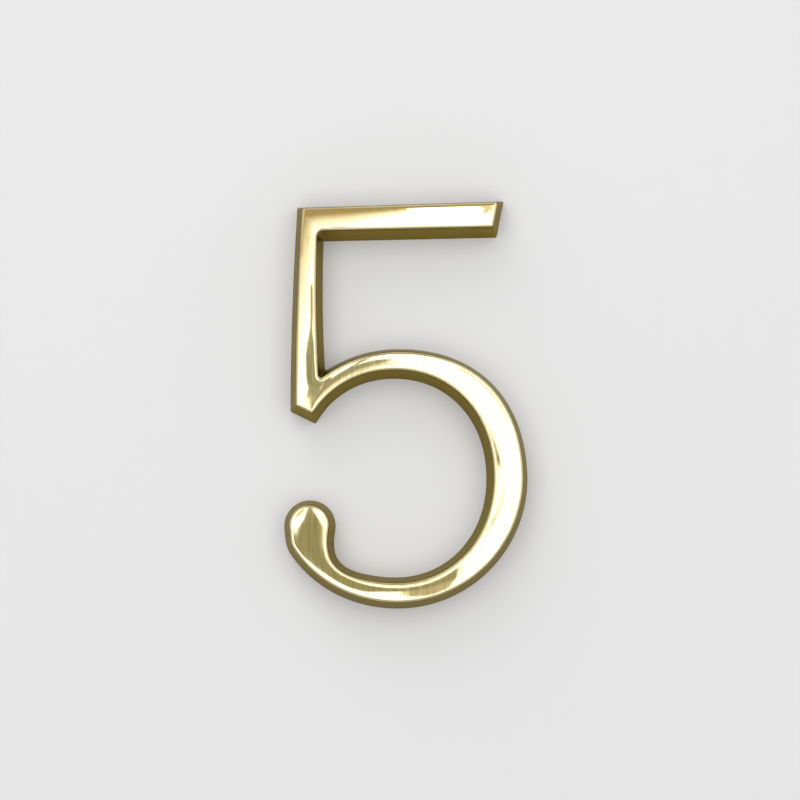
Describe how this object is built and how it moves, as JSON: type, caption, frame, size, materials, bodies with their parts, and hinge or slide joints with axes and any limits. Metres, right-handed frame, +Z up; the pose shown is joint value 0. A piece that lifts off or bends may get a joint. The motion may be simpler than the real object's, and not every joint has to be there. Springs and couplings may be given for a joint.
{
  "type": "door numeral",
  "caption": "Polished cast brass numeral 5 with a crowned face and drafted sides, fixed to a door by threaded studs screwed into its flat back.",
  "frame": {"origin": "midway between the axes of the two studs, in the plane of the flat back", "axes": "the face looks along -Y, the studs point along +Y into the door, +Z is up"},
  "size_m": [0.0466, 0.033, 0.0785],
  "materials": {
    "polished_brass": "polished face, plain cast walls and back",
    "stud_brass": "machined thread"
  },
  "bodies": {
    "root": {"numeral_casting": "polished_brass", "upper_stud": "stud_brass", "lower_stud": "stud_brass"}
  },
  "joints": []
}
